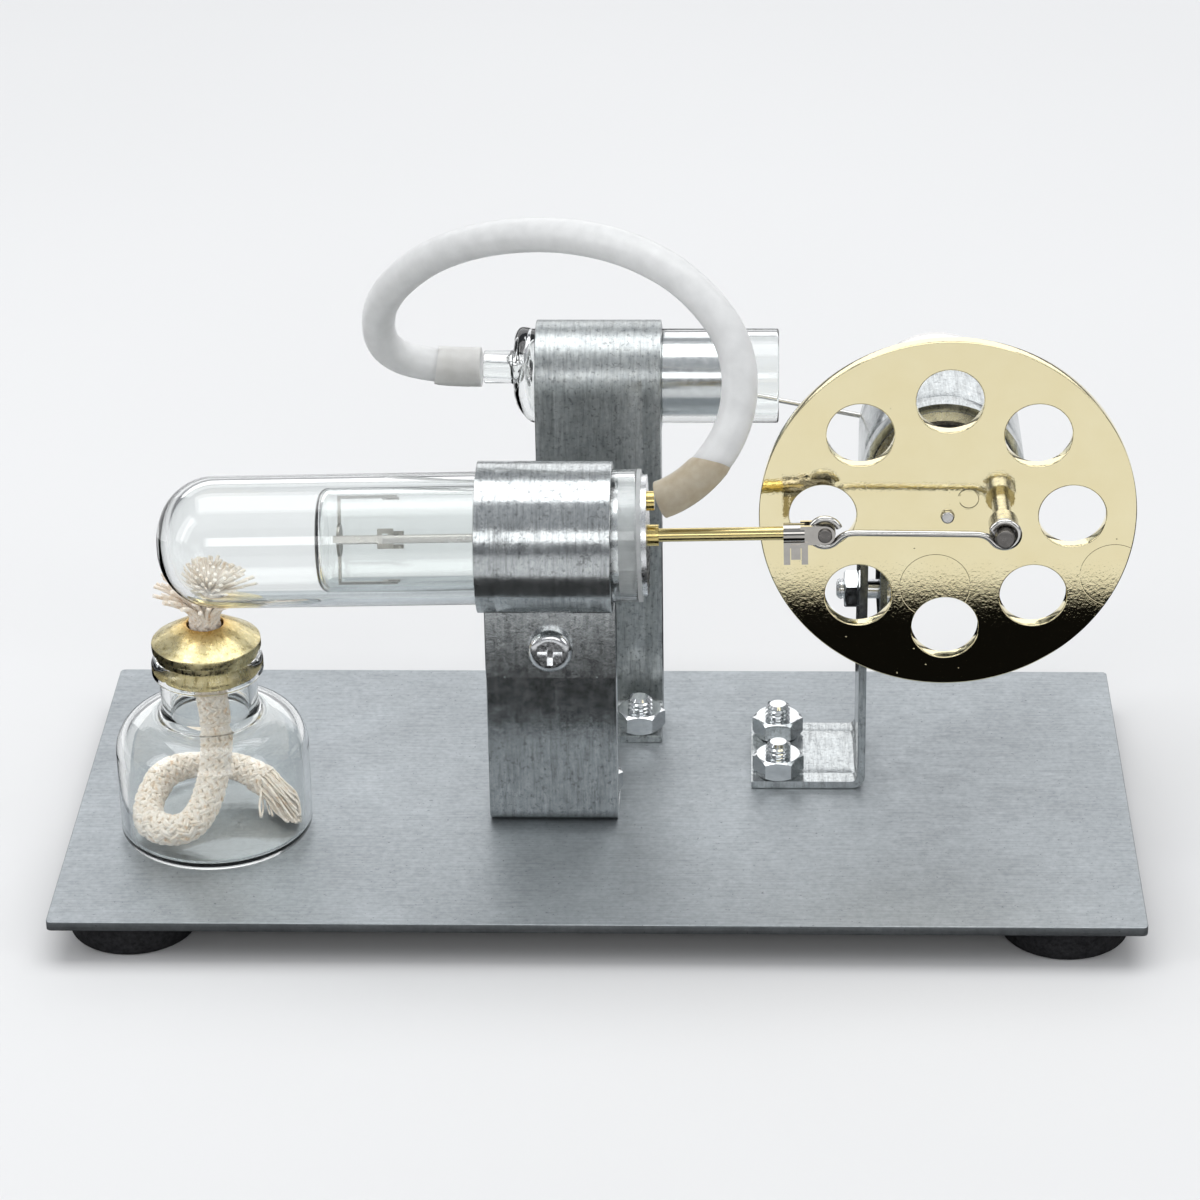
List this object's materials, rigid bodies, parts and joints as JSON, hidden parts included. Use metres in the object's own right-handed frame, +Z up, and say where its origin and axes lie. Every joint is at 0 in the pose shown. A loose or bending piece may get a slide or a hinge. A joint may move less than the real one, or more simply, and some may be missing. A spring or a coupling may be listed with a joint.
{
  "type": "stirling engine model",
  "caption": "Desktop hot-air engine on a sheet-metal base: glass hot and power cylinders, silicone air hose, drilled flywheel on a crankshaft, and a glass spirit burner.",
  "frame": {"origin": "on the table under the middle of the overall outline", "axes": "+X along the base from burner to flywheel, +Y from the hot cylinder to the power cylinder, +Z up"},
  "size_m": [0.164, 0.0856, 0.1006],
  "materials": {
    "galvanised_plate": "galvanised sheet, fine streaks and specks",
    "galvanised_strip": "bright galvanised strip with die lines",
    "foot_foam": "black foam rubber",
    "zinc_fastener": "bright zinc plate",
    "clear_glass": "clear borosilicate glass",
    "turned_aluminium": "fine turned rings",
    "silicone": "frosted translucent silicone",
    "brass": "drawn and turned brass",
    "gold_plate": "gold-coloured mirror plating with slight orange peel",
    "spring_steel": "bright drawn steel wire and strip",
    "dark_steel": "dark oiled steel",
    "bearing_steel": "ground bearing steel",
    "bearing_rubber": "black seal",
    "cotton": "braided natural cotton"
  },
  "bodies": {
    "engine": {"base_plate": "galvanised_plate", "foot_front_left": "foot_foam", "foot_front_right": "foot_foam", "foot_rear_left": "foot_foam", "foot_rear_right": "foot_foam", "hot_bracket": "galvanised_strip", "hot_clamp_screw": "zinc_fastener", "hot_clamp_nut": "zinc_fastener", "hot_foot_bolts": "zinc_fastener", "hot_foot_nuts": "zinc_fastener", "power_bracket": "galvanised_strip", "power_clamp_screw": "zinc_fastener", "power_clamp_nut": "zinc_fastener", "power_foot_bolts": "zinc_fastener", "power_foot_nuts": "zinc_fastener", "bearing_bracket": "galvanised_strip", "bearing_clamp_screw": "zinc_fastener", "bearing_clamp_nut": "zinc_fastener", "bearing_foot_bolts": "zinc_fastener", "bearing_foot_nuts": "zinc_fastener", "hot_cylinder": "clear_glass", "cold_end_plug": "turned_aluminium", "plug_seal": "silicone", "rod_gland": "brass", "hose_nipple": "brass", "power_cylinder": "clear_glass", "bearing_housing": "turned_aluminium", "front_bearing_outer": "bearing_steel", "rear_bearing_outer": "bearing_steel", "front_bearing_balls": "bearing_steel", "rear_bearing_balls": "bearing_steel", "front_bearing_cover": "bearing_rubber", "rear_bearing_cover": "bearing_rubber", "air_hose": "silicone"},
    "crank": {"flywheel": "gold_plate", "flywheel_hub": "turned_aluminium", "crankshaft": "bearing_steel", "front_bearing_inner": "bearing_steel", "rear_bearing_inner": "bearing_steel", "front_crank_pin": "turned_aluminium", "rear_crank_disc": "bearing_steel"},
    "displacer": {"displacer_tube": "clear_glass", "displacer_claw": "spring_steel", "displacer_rod": "spring_steel", "rod_sleeve": "brass", "clevis_clip": "spring_steel", "clevis_pin": "dark_steel"},
    "displacer_link": {"displacer_conrod": "spring_steel", "front_crank_screw": "dark_steel"},
    "piston": {"power_piston": "turned_aluminium", "wrist_pin": "dark_steel"},
    "piston_link": {"power_conrod": "spring_steel", "rear_crank_screw": "dark_steel"},
    "burner": {"burner_bottle": "clear_glass", "burner_cap": "gold_plate", "wick": "cotton", "wick_fray": "cotton"}
  },
  "joints": [
    {"name": "crank_spin", "type": "hinge", "parent": "engine", "child": "crank", "pos_m": [0.0523, -0.01405, 0.0606], "axis": [0, 1, 0], "continuous": true},
    {"name": "displacer_slide", "type": "slide", "parent": "engine", "child": "displacer", "axis": [0.9998, 0, 0.0192], "range_m": [-0.01606, 0.00009]},
    {"name": "displacer_link_swing", "type": "hinge", "parent": "displacer", "child": "displacer_link", "pos_m": [0.03399, -0.02225, 0.06179], "axis": [0, -1, 0], "range_deg": [-19.7, 16]},
    {"name": "piston_slide", "type": "slide", "parent": "engine", "child": "piston", "axis": [1, 0, 0], "range_m": [-0.00908, 0.00594]},
    {"name": "piston_link_swing", "type": "hinge", "parent": "piston", "child": "piston_link", "pos_m": [0.0068, 0.03395, 0.0626], "axis": [0, -1, 0], "range_deg": [0, 18.3]},
    {"name": "burner_slide", "type": "slide", "parent": "engine", "child": "burner", "axis": [0, 1, 0], "range_m": [0, 0.02]}
  ]
}
